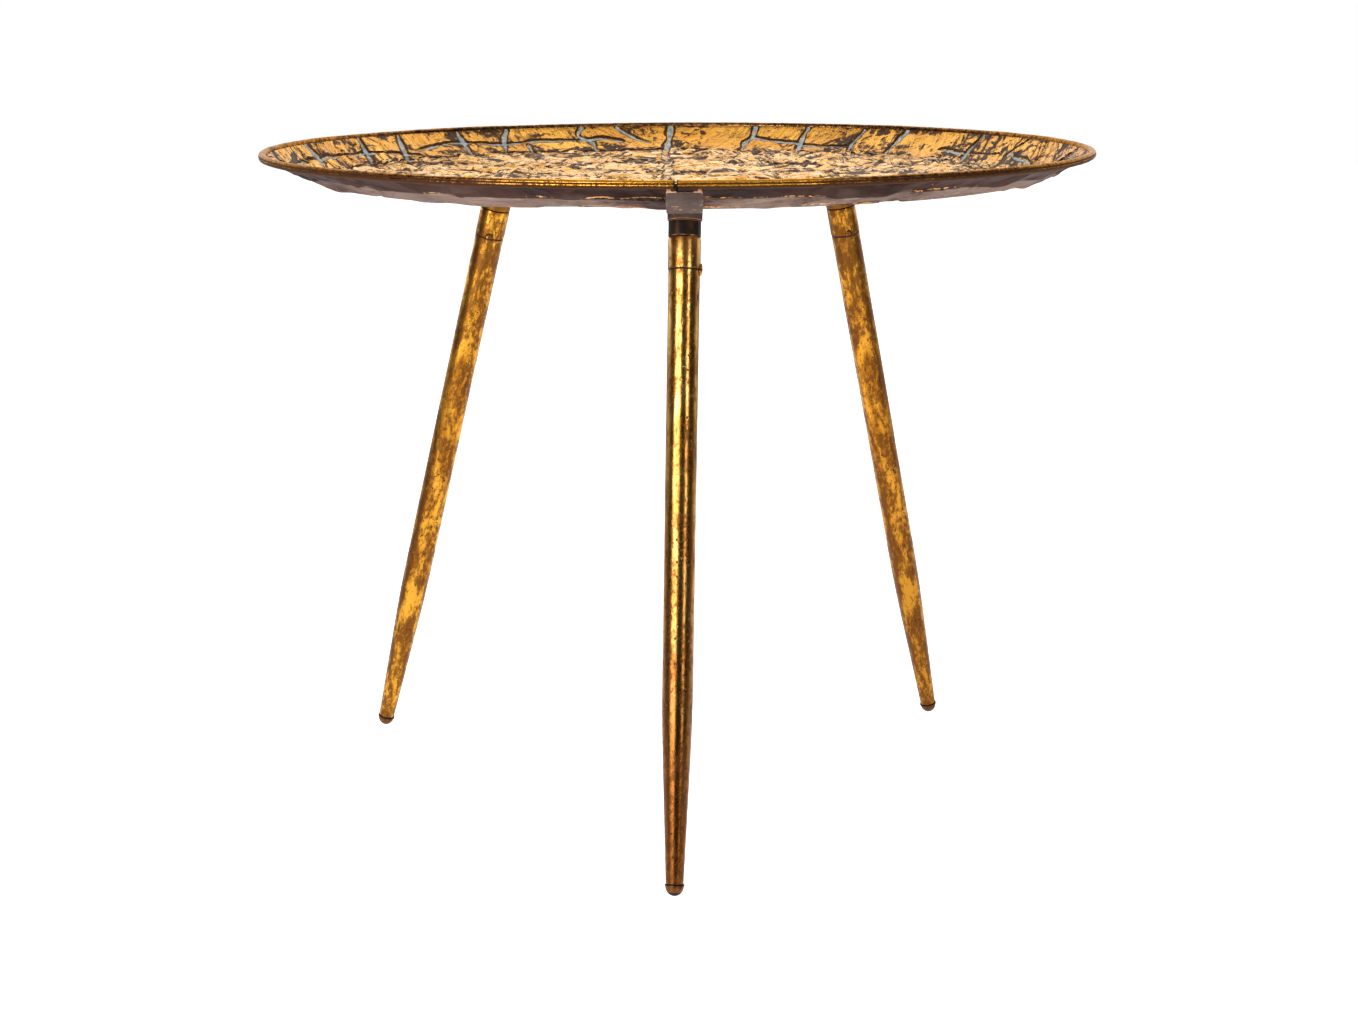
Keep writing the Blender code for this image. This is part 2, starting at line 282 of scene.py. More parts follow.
class Surface:
    """A node material under construction, with short calls for the nodes that the looks need."""

    def __init__(self, name, **constants):
        self.material = bpy.data.materials.new(name)
        self.material.use_nodes = True
        self.nodes = self.material.node_tree.nodes
        self.links = self.material.node_tree.links
        self.shader = self.nodes["Principled BSDF"]
        self.set(**constants)
        coordinates = self.nodes.new("ShaderNodeTexCoord")
        self.place = coordinates.outputs["Object"]

    def set(self, **values):
        """Feeds the shader's inputs, each named in lower case with _ for a space."""
        for key, value in values.items():
            self.feed(self.shader, {key.replace("_", " ").title().replace("Ior", "IOR"): value})
        return self

    def feed(self, node, inputs):
        for key, value in inputs.items():
            socket = node.inputs[key]
            if isinstance(value, bpy.types.NodeSocket):
                self.links.new(value, socket)
            elif value is not None:
                socket.default_value = value
        return node

    def stretch(self, scale, place=None, offset=(0.0, 0.0, 0.0)):
        node = self.nodes.new("ShaderNodeMapping")
        self.feed(node, {"Vector": place or self.place, "Scale": scale, "Location": offset})
        return node.outputs[0]

    def noise(self, scale, detail=3.0, roughness=0.55, distortion=0.0, place=None):
        node = self.nodes.new("ShaderNodeTexNoise")
        inputs = {"Scale": scale, "Detail": detail, "Roughness": roughness, "Distortion": distortion}
        self.feed(node, {"Vector": place or self.place, **inputs})
        return node.outputs["Fac"]

    def cells(self, scale, place=None):
        """Distance from the nearest of some scattered points."""
        node = self.nodes.new("ShaderNodeTexVoronoi")
        self.feed(node, {"Vector": place or self.place, "Scale": scale})
        return node.outputs["Distance"]

    def attribute(self, name):
        node = self.nodes.new("ShaderNodeAttribute")
        node.attribute_name = name
        return node.outputs["Fac"]

    def axis(self, letter):
        """A coordinate in the object's own frame."""
        parts = self.nodes.new("ShaderNodeSeparateXYZ")
        self.links.new(self.place, parts.inputs[0])
        return parts.outputs[letter]

    def arm_gap_shadow(self):
        """1 in the gap that runs down from the ring's split and then along under its right end, where the
        front arm is painted near black as the gap's shadow.
        """
        across, level, deep = self.axis("X"), self.axis("Z"), self.axis("Y")
        right = self.times(self.band(across, -0.0010, -0.0006), self.band(across, 0.0096, 0.0100, 1.0, 0.0))
        above = self.band(level, 0.4658, 0.4661)
        low = self.times(above, self.band(level, 0.4668, 0.4671, 1.0, 0.0))
        drop = self.times(above, self.band(across, 0.0002, 0.0006, 1.0, 0.0))
        on_end = self.band(deep, -0.2890, -0.2885, 1.0, 0.0)
        return self.times(self.most(self.times(right, low), self.times(right, drop)), on_end)

    def near(self, level, reach):
        """1 at a height in the object's own frame, and 0 further off than reach."""
        away = self.math("ABSOLUTE", self.math("SUBTRACT", self.axis("Z"), level))
        return self.band(away, 0.0, reach, 1.0, 0.0)

    def math(self, operation, first, second=0.5, clamp=False):
        node = self.nodes.new("ShaderNodeMath")
        node.operation = operation
        node.use_clamp = clamp
        self.feed(node, {0: first, 1: second})
        return node.outputs[0]

    def add(self, *terms):
        """The sum of its terms, each a value or (value, weight)."""
        values = [self.times(*term) if isinstance(term, tuple) else term for term in terms]
        total = values[0]
        for value in values[1:]:
            total = self.math("ADD", total, value)
        return total

    def times(self, first, second):
        return self.math("MULTIPLY", first, second)

    def most(self, *values):
        """The highest of the values, held between 0 and 1."""
        highest = values[0]
        for value in values[1:]:
            highest = self.math("MAXIMUM", highest, value, clamp=True)
        return highest

    def rest(self, value):
        return self.math("SUBTRACT", 1.0, value)

    def combine(self, x, y):
        node = self.nodes.new("ShaderNodeCombineXYZ")
        self.feed(node, {"X": x, "Y": y})
        return node.outputs[0]

    def band(self, value, low, high, out_low=0.0, out_high=1.0):
        """value mapped from low..high to out_low..out_high, held at the ends, with a soft step."""
        node = self.nodes.new("ShaderNodeMapRange")
        node.interpolation_type = "SMOOTHSTEP"
        inputs = {"Value": value, "From Min": low, "From Max": high, "To Min": out_low, "To Max": out_high}
        self.feed(node, inputs)
        return node.outputs[0]

    def mix(self, factor, first, second):
        node = self.nodes.new("ShaderNodeMix")
        node.data_type = "RGBA"
        first, second = ((*c, 1.0) if isinstance(c, tuple) else c for c in (first, second))
        self.feed(node, {0: factor, 6: first, 7: second})
        return node.outputs[2]

    def bump(self, height, strength, distance, normal=None):
        node = self.nodes.new("ShaderNodeBump")
        self.feed(node, {"Height": height, "Strength": strength, "Distance": distance, "Normal": normal})
        return node.outputs[0]

    def finish(self, colour, metal, rough, normal):
        return self.set(base_color=colour, metallic=metal, roughness=rough, normal=normal).material


GOLD = (0.78, 0.38, 0.045)
DEEP_GOLD = (0.56, 0.23, 0.020)
PALE_GOLD = (0.93, 0.65, 0.38)
BROWN = (0.090, 0.032, 0.010)
UMBER = (0.026, 0.010, 0.005)
COPPER = (0.66, 0.32, 0.15)
VERDIGRIS = (0.26, 0.37, 0.37)
PALE_VERDIGRIS = (0.66, 0.69, 0.71)

# Of each leg: how stained it is, from 0, its pale and its deep gold, and how brown its lower end is, up to 1
LEG_LOOKS = {
    # The front leg's paler, whiter gold and the rear legs' deeper gold and stain are partly painted light and
    # shade: the front leg stands in stronger light.
    "front": (0.0, (0.84, 0.48, 0.135), (0.44, 0.185, 0.034), 1.0),
    "left": (0.040, (0.82, 0.385, 0.040), (0.42, 0.155, 0.014), 0.15),
    "right": (0.040, (0.78, 0.350, 0.035), (0.38, 0.135, 0.012), 0.45),
}
COLLAR_STAIN = 0.10  # the same, of a rear collar


def tray_top_material():
    """Gold with pale streaks, strongest on the floor, partly its own tone and partly a painted highlight;
    brown in the cracks and pits, verdigris on the grooves' floors.
    """
    made = Surface("tray_gold", specular_tint=(1.0, 0.90, 0.74, 1.0), specular_ior_level=0.08)
    flow = made.combine(made.attribute("along"), made.attribute("across"))
    streak = made.noise(1.0, 5, 0.62, 0.5, made.stretch((18, 50, 1), flow))
    hatch = made.noise(1.0, 3, 0.6, 0.3, made.stretch((34, 120, 1), flow))
    stain = made.noise(130, 5, 0.68, 0.6)
    large = made.noise(24, 4, 0.6, 0.5)
    gold = made.mix(made.band(made.noise(15, 4, 0.6), 0.35, 0.65), DEEP_GOLD, GOLD)
    # Pale gold streaks, mostly on the floor: partly the sheet's tone, partly a painted highlight.
    pale_tone_and_highlight = made.band(made.attribute("plain"), 0, 1, 0.05, 0.95)
    gold = made.mix(made.band(streak, 0.40, 0.62, 0, pale_tone_and_highlight), gold, PALE_GOLD)
    pits = made.add((stain, 0.50), (large, 0.50), (streak, 0.20))
    pits = made.band(pits, 0.605, 0.645)
    spots = made.band(made.add(stain, (hatch, 0.5)), 0.845, 0.89)
    low = made.add(made.attribute("hollow"), (stain, 0.6), (streak, 0.3))
    lines = made.band(made.add(hatch, (made.attribute("ends"), 0.25)), 0.79, 0.86)
    edge = made.add(made.attribute("border"), (stain, 0.9), (streak, 0.3))
    dirt = made.most(pits, made.band(low, 0.72, 1.00), spots, lines, made.band(edge, 0.88, 1.12))
    colour = made.mix(dirt, gold, made.mix(made.band(stain, 0.4, 0.6), UMBER, BROWN))
    green = made.mix(made.band(made.noise(130, 4, 0.65), 0.38, 0.62), VERDIGRIS, PALE_VERDIGRIS)
    floor = made.add(made.attribute("groove"), (made.noise(160, 4, 0.7), 0.8))
    wet = made.band(floor, 0.98, 1.12)
    colour = made.mix(wet, colour, green)
    metal = made.rest(made.times(made.most(dirt, wet), 0.9))
    rough = made.add(made.band(dirt, 0, 1, 0.25, 0.50), (wet, 0.2))
    grain = made.bump(made.noise(430, 3, 0.6), 0.15, 0.0005)
    grain = made.bump(hatch, 0.35, 0.0009, grain)
    grain = made.bump(streak, 0.7, 0.0018, grain)
    return made.finish(colour, metal, rough, made.bump(made.rest(dirt), 0.3, 0.0003, grain))


def tray_under_material():
    """Brown back of the sheet, lighter below its crease, with copper rubbed through here and there."""
    made = Surface("tray_back", specular_tint=(0.36, 0.27, 0.25, 1.0), ior=1.25)
    cloud = made.noise(16, 5, 0.65, 0.4)
    fine = made.noise(260, 4, 0.7)
    base = made.mix(made.band(cloud, 0.32, 0.68), (0.026, 0.014, 0.011), (0.10, 0.064, 0.054))
    pale = made.add(made.attribute("lower"), (cloud, 1.3), (fine, 0.5))
    base = made.mix(made.band(pale, 1.55, 2.10, 0, 0.75), base, (0.42, 0.31, 0.26))
    worn = made.add(made.attribute("fold"), (fine, 1.4), (made.noise(9, 3, 0.55), 0.9))
    colour = made.mix(made.band(worn, 1.86, 1.95), base, (0.80, 0.42, 0.16))
    rough = made.band(cloud, 0.25, 0.75, 0.26, 0.42)
    creased = made.cells(34, made.stretch((1.0, 1.0, 2.5)))
    grain = made.bump(made.noise(60, 4, 0.6), 0.35, 0.0014, made.bump(fine, 0.25, 0.0004))
    return made.finish(colour, 0.75, rough, made.bump(creased, 0.8, 0.006, grain))


def rim_material():
    """Gold at the front of the ring, a painted highlight, dimmed to copper elsewhere; brown and speckled
    below and in the crease, partly patina and partly painted shade; near black at the split, a painted
    shadow.
    """
    made = Surface("rim_gold", specular_ior_level=0.10, specular_tint=(0.90, 0.62, 0.38, 1.0))
    speckle = made.noise(420, 4, 0.7, 0.5)
    patch = made.noise(26, 4, 0.65)
    mottled = made.add((speckle, 0.9), (patch, 0.9))
    # Painted shade, partly patina: dark brown on the ring's lower side and in its crease, a little more away
    # from the front.
    dark = made.band(made.add(made.attribute("patina_and_painted_shade"), mottled), 1.02, 1.18)
    gold = made.mix(made.band(made.noise(90, 4, 0.6), 0.3, 0.7), DEEP_GOLD, GOLD)
    copper = made.band(made.noise(260, 4, 0.7), 0.40, 0.60)
    copper = made.mix(copper, (0.070, 0.029, 0.013), (0.36, 0.165, 0.062))
    # Painted highlight: away from the front the gold is dimmed to copper, so only the front stays bright.
    dimmed_off_front = made.band(made.add(made.attribute("dimmed_off_front"), (mottled, 0.6)), 0.62, 1.02)
    gold = made.mix(dimmed_off_front, gold, copper)
    colour = made.mix(dark, gold, made.mix(speckle, UMBER, BROWN))
    # Painted shadow: near black on the ring's end faces and along under its right end, the shade in the gap
    # at the split.
    gap_shadow = made.attribute("gap_shadow")
    colour = made.mix(gap_shadow, colour, (0.004, 0.003, 0.002))
    metal = made.math("SUBTRACT", made.band(dark, 0, 1, 1.0, 0.35), gap_shadow, clamp=True)
    rough = made.most(made.band(dark, 0, 1, 0.24, 0.55), made.times(gap_shadow, 0.9))
    return made.finish(colour, metal, rough, made.bump(speckle, 0.5, 0.0007))


def iron_material(name, with_gap_shadow=False):
    """Brown-grey patina of the arms and sockets, copper at sharp edges, partly edge wear and partly a painted
    highlight, and worn to copper in scattered scratches.
    """
    made = Surface(name, specular_tint=(0.5, 0.38, 0.34, 1.0), ior=1.3)
    cloud = made.noise(45, 4, 0.6)
    fine = made.noise(330, 4, 0.7)
    base = made.mix(made.band(cloud, 0.3, 0.7), (0.050, 0.030, 0.025), (0.115, 0.076, 0.066))
    # Copper painted on sharp edges: partly edge wear, partly a painted highlight where the edges catch the
    # light.
    edges = made.nodes.new("ShaderNodeNewGeometry").outputs["Pointiness"]
    worn = made.add(made.band(edges, 0.505, 0.56), (fine, 0.55))
    scratch = made.cells(150, made.stretch((1.0, 3.5, 0.6)))
    fleck = made.band(made.add(scratch, (made.noise(28, 2), 0.5)), 0.40, 0.34)
    wear_and_glint = made.most(made.band(worn, 0.95, 1.15), fleck)
    colour = made.mix(wear_and_glint, base, COPPER)
    # Painted shadow: on the front arm, near black in the gap under the ring's split.
    if with_gap_shadow:
        colour = made.mix(made.arm_gap_shadow(), colour, (0.002, 0.001, 0.001))
    rough = made.band(wear_and_glint, 0, 1, 0.60, 0.35)
    return made.finish(colour, 0.20, rough, made.bump(fine, 0.45, 0.0005))


def collar_material():
    """Near-black ring with a copper line along its upper edge and a fainter one along its lower edge, partly
    wear and partly a painted highlight.
    """
    made = Surface("collar_black")
    fine = made.noise(300, 4, 0.7)
    cloud = made.noise(120, 4, 0.6, 0.3, made.stretch((1.0, 1.0, 0.15)))
    base = made.mix(made.band(cloud, 0.35, 0.65), (0.008, 0.004, 0.003), (0.080, 0.036, 0.016))
    # Painted highlight, partly wear: copper lines along the top and bottom edges.
    edge = made.add(made.near(-GAP, 0.0010), (made.near(-COLLAR_LENGTH, 0.0010), 0.6))
    wear_and_glint = made.band(made.add(edge, (fine, 0.8)), 0.90, 1.1)
    colour = made.mix(wear_and_glint, base, (0.62, 0.33, 0.13))
    return made.finish(colour, 0.7, 0.5, made.bump(fine, 0.5, 0.0004))


def leg_material(name, age, pale, deep, burnt):
    """Antique brass tube, with brown clouds, streaks, pits and slots, as LEG_LOOKS sets them."""
    made = Surface(f"leg_gold_{name}")
    cloud = made.noise(95, 5, 0.66, 0.6, made.stretch((1.0, 1.0, 0.30)))
    fine = made.noise(330, 5, 0.72, 0.3, made.stretch((1.0, 1.0, 0.55)))
    gold = made.mix(made.band(cloud, 0.35, 0.6), pale, deep)
    lower = made.band(made.add(made.axis("Z"), (cloud, 0.10)), -0.02, -0.36, 0.0, burnt)
    burn = made.mix(made.band(fine, 0.45, 0.6), (0.165, 0.055, 0.010), (0.050, 0.015, 0.003))
    gold = made.mix(lower, gold, burn)
    stain = made.add((cloud, 0.48), (fine, 0.64), age)
    stain = made.add(stain, made.band(made.axis("Z"), -0.20, -0.43, -0.02, 0.03))
    stain = made.add(stain, made.band(made.axis("Z"), -0.15, -0.03, 0.0, 1.2 * age))
    brown = made.band(stain, 0.525, 0.645)
    pit = made.times(made.band(made.cells(230), 0.20, 0.12), made.band(made.noise(60, 2, 0.5), 0.50, 0.58))
    slot = made.band(made.cells(75, made.stretch((1.0, 1.0, 0.22))), 0.090, 0.055)
    under_ferrule = made.near(-COLLAR_LENGTH - FERRULE_LENGTH - 2.5 * GAP, 0.0011)
    joint = made.most(under_ferrule, made.near(-COLLAR_LENGTH - 1.5 * GAP, 0.0008))
    joint = made.band(made.add(joint, (fine, 0.4), (made.noise(90, 2), 0.5)), 0.85, 1.05)
    mark = made.most(pit, slot, joint)
    dirt = made.most(made.times(brown, 0.80), mark)
    colour = made.mix(dirt, gold, made.mix(mark, (0.115, 0.041, 0.011), UMBER))
    rough = made.band(dirt, 0, 1, 0.20, 0.40)
    metal = made.band(mark, 0, 1, 1.0, 0.6)
    grain = made.bump(made.rest(mark), 0.6, 0.0004, made.bump(fine, 0.30, 0.0004))
    return made.finish(colour, metal, rough, grain)


def foot_material(side, tip):
    """Brown-gold plug, black where it stands on the floor."""
    made = Surface(f"foot_bronze_{side}")
    fine = made.noise(280, 4, 0.7)
    cloud = made.band(made.noise(160, 4, 0.6), 0.35, 0.65)
    base = made.mix(cloud, (0.030, 0.010, 0.004), (0.20, 0.075, 0.018))
    worn = made.add(made.axis("Z"), (fine, 0.0016))
    line = made.band(made.add(made.near(tip + 0.0076, 0.0008), (fine, 0.4)), 0.55, 0.8)
    dark = made.most(made.band(worn, tip + 0.0040, tip + 0.0024), line)
    colour = made.mix(dark, base, (0.012, 0.008, 0.006))
    return made.finish(colour, 0.9, made.band(dark, 0, 1, 0.34, 0.6), made.bump(fine, 0.4, 0.0004))


def steel_material():
    """Dull grey of the studs, which shows only when a leg is unscrewed."""
    made = Surface("thread_steel")
    fine = made.noise(300, 4, 0.6)
    colour = made.mix(made.band(fine, 0.35, 0.7), (0.20, 0.18, 0.16), (0.46, 0.44, 0.42))
    return made.finish(colour, 1.0, made.band(fine, 0.3, 0.7, 0.28, 0.45), made.bump(fine, 0.2, 0.0003))


# ---------------- tray relief

# Grooves of the relief, each as points of azimuth, in degrees from the back and + to the right, and of
# radius, in tray radii
VEINS = (
    ((-59, 1), (-62, 0.92), (-67, 0.85), (-80, 0.7)),
    ((-50, 1), (-53, 0.91), (-60, 0.8), (-75, 0.66)),
    ((-38, 1), (-39, 0.92), (-46, 0.67), (-66, 0.45)),
    ((-29, 1), (-31, 0.93), (-36, 0.76), (-55, 0.45)),
    ((-16, 1), (-17, 0.95), (-15, 0.9), (-17, 0.69), (-40, 0.3)),
    ((13, 1), (13, 0.94), (12, 0.87), (14, 0.5), (40, 0.25)),
    ((22, 1), (22, 0.93), (24, 0.8), (34, 0.58), (62, 0.36)),
    ((32, 1), (32, 0.9), (36, 0.77), (41, 0.62), (70, 0.42)),
    ((40, 1), (40, 0.92), (43, 0.77), (56, 0.57), (84, 0.48)),
    ((56, 1), (58, 0.9), (66, 0.78), (85, 0.66)),
    ((68, 1), (69, 0.92), (81, 0.89), (95, 0.8)),
    ((-74, 1), (-77, 0.93), (-88, 0.84), (-104, 0.74)),
    ((-93, 1), (-97, 0.92), (-108, 0.8), (-126, 0.7)),
    ((-112, 1), (-116, 0.92), (-127, 0.74), (-145, 0.62)),
    ((-130, 1), (-132, 0.9), (-143, 0.7), (-160, 0.55)),
    ((-150, 1), (-151, 0.9), (-160, 0.66)),
    ((-167, 1), (-166, 0.88), (-170, 0.7)),
    ((88, 1), (92, 0.92), (104, 0.8), (122, 0.7)),
    ((108, 1), (112, 0.91), (124, 0.75), (144, 0.6)),
    ((127, 1), (129, 0.92), (139, 0.74), (156, 0.58)),
    ((145, 1), (147, 0.9), (156, 0.68)),
    ((162, 1), (163, 0.9), (169, 0.66)),
)
CROSSES = (
    ((-82, 0.93), (-72, 0.925), (-64, 0.92), (-60, 0.92), (-51, 0.89)),
    ((-84, 0.87), (-73, 0.85), (-63, 0.84), (-52, 0.86), (-39, 0.85)),
    ((-50, 0.91), (-41, 0.94), (-32, 0.92), (-25, 0.93), (-18, 0.93)),
    ((-36, 0.87), (-28, 0.86), (-15, 0.85), (-2, 0.86)),
    ((-2, 0.85), (7, 0.84), (15, 0.84), (28, 0.83), (40, 0.82)),
    ((13, 0.94), (17, 0.92), (22, 0.91)),
    ((23, 0.9), (27, 0.895), (31, 0.9)),
    ((51, 0.91), (57, 0.9), (66, 0.91)),
    ((52, 0.83), (60, 0.82), (74, 0.8)),
    ((-118, 0.93), (-107, 0.92), (-95, 0.93), (-84, 0.93)),
    ((-127, 0.85), (-108, 0.86), (-95, 0.85), (-86, 0.86)),
    ((-160, 0.86), (-146, 0.85), (-131, 0.86)),
    ((-178, 0.92), (-166, 0.93), (-152, 0.92)),
    ((82, 0.86), (95, 0.85), (110, 0.86)),
    ((92, 0.93), (102, 0.92), (112, 0.93)),
    ((114, 0.85), (128, 0.86), (145, 0.85)),
    ((129, 0.93), (138, 0.92), (147, 0.93)),
    ((150, 0.86), (163, 0.85), (180, 0.86)),
)
BRANCHES = (
    ((-27, 0.91), (-28, 0.82), (-31, 0.71)),
    ((-17, 0.93), (-13, 0.935), (-10, 0.92)),
    ((-10, 1), (-7, 0.93), (-5, 0.91)),
    ((-5, 0.45), (-30, 0.4), (-52, 0.42)),
    ((8, 0.4), (40, 0.42), (60, 0.5)),
    ((170, 0.3), (150, 0.42), (141, 0.55)),
    ((-172, 0.35), (-150, 0.45), (-138, 0.58)),
)
MIDRIB = (
    *((-1, 1), (-2.5, 0.8), (-3, 0.59), (-5, 0.26)),
    *((-170, 0.15), (-177, 0.45), (179, 0.7), (-179, 1)),
)


def polar_line(points):
    """Plan points of a smooth line through points of azimuth and radius."""
    turn = np.radians([point[0] for point in points])
    size = np.array([min(point[1], 0.985) for point in points]) * RIM_RADIUS
    corners = np.stack([np.sin(turn), np.cos(turn)], axis=-1) * size[:, None]
    ends = np.concatenate([[2 * corners[0] - corners[1]], corners, [2 * corners[-1] - corners[-2]]])
    out = []
    for a, b, c, d in zip(ends, ends[1:], ends[2:], ends[3:]):
        for t in np.arange(0, 1, 0.2):
            curve = 2 * b + (c - a) * t + (2 * a - 5 * b + 4 * c - d) * t**2 + (3 * b - a - 3 * c + d) * t**3
            out.append(curve / 2)
    return np.array([*out, corners[-1]])


def distance_to(line, plan):
    """Distance of each plan point from a polyline."""
    best = np.full(len(plan), np.inf)
    for start, end in zip(line, line[1:]):
        along = end - start
        length = along @ along
        part = np.clip(((plan - start) @ along) / length, 0, 1)
        gap = plan - start - part[:, None] * along
        best = np.minimum(best, np.einsum("ij,ij->i", gap, gap))
    return np.sqrt(best)


def groove_lines():
    """(polyline, half width, share of its depth that stays on the floor) of every groove."""
    found = [(polar_line(points), 0.0022, 0.40) for points in VEINS]
    found += [(polar_line(points), 0.0021, 0.9) for points in CROSSES]
    found += [(polar_line(points), 0.0020, 0.8) for points in BRANCHES]
    return [*found, (polar_line(MIDRIB), 0.0030, 0.6)]


def flange_height(radius):
    """Height of the sheet's top above the base, with a crease half way up the flange."""
    slope = (RIM_LEVEL - BASE_LEVEL) / (PAN_EDGE - BASE_RADIUS)
    below = (radius - BASE_RADIUS) / (CREASE_RADIUS - BASE_RADIUS)
    above = (PAN_EDGE - radius) / (PAN_EDGE - CREASE_RADIUS)
    height = (radius - BASE_RADIUS) * slope - CREASE_DROP * np.clip(np.minimum(below, above), 0, None)
    softened = KNEE_SOFTNESS * np.log1p(np.exp(np.clip(height / KNEE_SOFTNESS, -40, 40)))
    return np.where(height > 6 * KNEE_SOFTNESS, height, softened)


def flange_share(radius, before=0.004, over=0.010):
    """0 on the floor and 1 on the flange, with a ramp that starts this far before the floor's edge."""
    return np.clip((radius - BASE_RADIUS + before) / over, 0, 1)


def dip(distance, width):
    """1 at no distance, falling off like a bell."""
    return np.exp(-((distance / width) ** 2))


def disc_plan(rings):
    """Plan points of a disc as a square grid: cells have nearly equal areas, and each square is a circle."""
    steps = np.arange(-rings, rings + 1)
    a, b = np.meshgrid(steps, steps, indexing="ij")
    reach = np.maximum(np.abs(a), np.abs(b))
    wide = np.abs(a) >= np.abs(b)
    with np.errstate(divide="ignore", invalid="ignore"):
        turn = np.where(wide, np.pi / 4 * b / a, np.pi / 2 - np.pi / 4 * a / b)
    turn = np.where(np.where(wide, a, b) < 0, turn + np.pi, turn)
    turn = np.where(reach == 0, 0.0, turn)
    # The floor takes 78 % of the rings, and the flange with its finer pattern the rest.
    radius = np.interp(reach, [0, rings * 0.78, rings], [0.0, BASE_RADIUS - 0.006, PAN_EDGE + TUCK])
    return np.stack([radius * np.cos(turn), radius * np.sin(turn)], axis=-1).reshape(-1, 2)


def groove_masks(plan):
    """Depth share, dark border and floor of the grooves at each plan point, from 0 to 1."""
    radius = np.linalg.norm(plan, axis=1)
    on_flange = flange_share(radius)
    wobble = 0.0009 * fractal(plan / 0.007, 3, 11)
    width_change = 1 + 0.45 * smooth_noise(plan / 0.011, 5)
    depth, border, floor = np.zeros((3, len(plan)))
    for line, half_width, floor_share in groove_lines():
        margin = 4 * half_width
        inside = np.all((plan > line.min(axis=0) - margin) & (plan < line.max(axis=0) + margin), axis=1)
        width = half_width * width_change[inside]
        near = (distance_to(line, plan[inside]) + wobble[inside]) / width
        share = floor_share + (1 - floor_share) * on_flange[inside]
        depth[inside] = np.maximum(depth[inside], np.clip(1.35 - near**2, 0, 1) * share)
        border[inside] = np.maximum(border[inside], dip(near - 1.15, 0.36) * share)
        floor[inside] = np.maximum(floor[inside], np.clip(1.3 - (near / 0.75) ** 2, 0, 1) * share)
    return depth, border, floor


def relief(plan, depth):
    """The relief pressed into the sheet at each plan point, its cracks, and the run of its streaks."""
    radius = np.linalg.norm(plan, axis=1)
    on_flange = flange_share(radius)
    sides = np.clip(plan[:, 0] / radius.clip(1e-6), -1, 1) ** 2
    u, v = plan[:, 0] / RIM_RADIUS, plan[:, 1] / RIM_RADIUS
    swirl = 0.045 * fractal(plan / 0.045, 2, 21)
    across = v - 0.6 * np.sqrt(u * u + 0.01) - 1.1 * u * u + swirl
    along = u + 0.8 * swirl
    bark = ridged(np.stack([along * 10, across * 15], axis=-1), 3, 31)
    second = ridged(np.stack([(u + 0.3 * across) * 13, (across - 0.6 * u) * 20], axis=-1), 2, 41)
    crack = np.maximum(np.clip((bark - 0.72) / 0.14, 0, 1), 0.8 * np.clip((second - 0.80) / 0.12, 0, 1))
    pad = np.clip((0.78 - bark) / 0.45, 0, 1) ** 0.7 * np.clip((0.92 - second) / 0.3, 0.3, 1)
    strength = 1 - on_flange + on_flange * (0.12 + 0.75 * sides**2)
    dents = fractal(plan / 0.012, 3, 51)
    height = -0.0014 * depth + strength * (0.0022 * pad - 0.0006 * crack) * (1 - depth) + 0.00025 * dents
    hollow = crack * strength**0.5 * (1 - depth)
    knee = dip(radius - BASE_RADIUS - 0.0030 - 0.0012 * smooth_noise(plan / 0.010, 23), 0.0012)
    hollow = np.maximum(hollow, 0.85 * knee * np.clip(0.6 + smooth_noise(plan / 0.030, 25), 0, 1))
    return np.clip(height - 0.0004, -0.0016, None), hollow, along, across


def underside_relief(plan, depth):
    """The back of the sheet: low ridges, beaten facets and soft dents, its folds, and 1 below its crease."""
    radius = np.linalg.norm(plan, axis=1)
    azimuth = np.arctan2(plan[:, 0], plan[:, 1])
    on_flange = flange_share(radius, 0.012, 0.016)
    steps = azimuth / math.radians(8.0) + 0.6 * fractal(plan / 0.08, 2, 61)
    beaten = facets(steps, radius / 0.021 + 0.3 * steps, 71)
    sharp = facets(steps * 2.3 + 7, radius / 0.012 - 0.4 * steps, 73)
    fade = np.clip((PAN_EDGE - radius) / 0.006, 0, 1)
    dents = fractal(plan / 0.03, 3, 81)
    rise = (0.0022 * beaten + 0.0012 * sharp) * on_flange * fade + 0.00030 * dents * fade
    crease = dip(radius - CREASE_RADIUS - 0.0008 * sharp, 0.0011)
    knee = dip(radius - BASE_RADIUS - 0.001 * beaten, 0.0022)
    lower = np.clip((CREASE_RADIUS - radius) / 0.0012 + 0.5 + 0.3 * sharp, 0, 1)
    return rise - 0.0007 * depth * fade, np.maximum(0.75 * crease, 0.8 * knee), lower


def sheet_faces(side, first=0, turned=False):
    """Quads of a square grid with side points along each edge."""
    index = np.arange(side * side).reshape(side, side) + first
    faces = np.stack([index[:-1, :-1], index[1:, :-1], index[1:, 1:], index[:-1, 1:]], axis=-1).reshape(-1, 4)
    return faces[:, ::-1] if turned else faces


def border_loop(side):
    """Indices of the outer points of a square grid, once round."""
    index = np.arange(side * side).reshape(side, side)
    return np.concatenate([index[:-1, 0], index[-1, :-1], index[:0:-1, -1], index[0, :0:-1]])


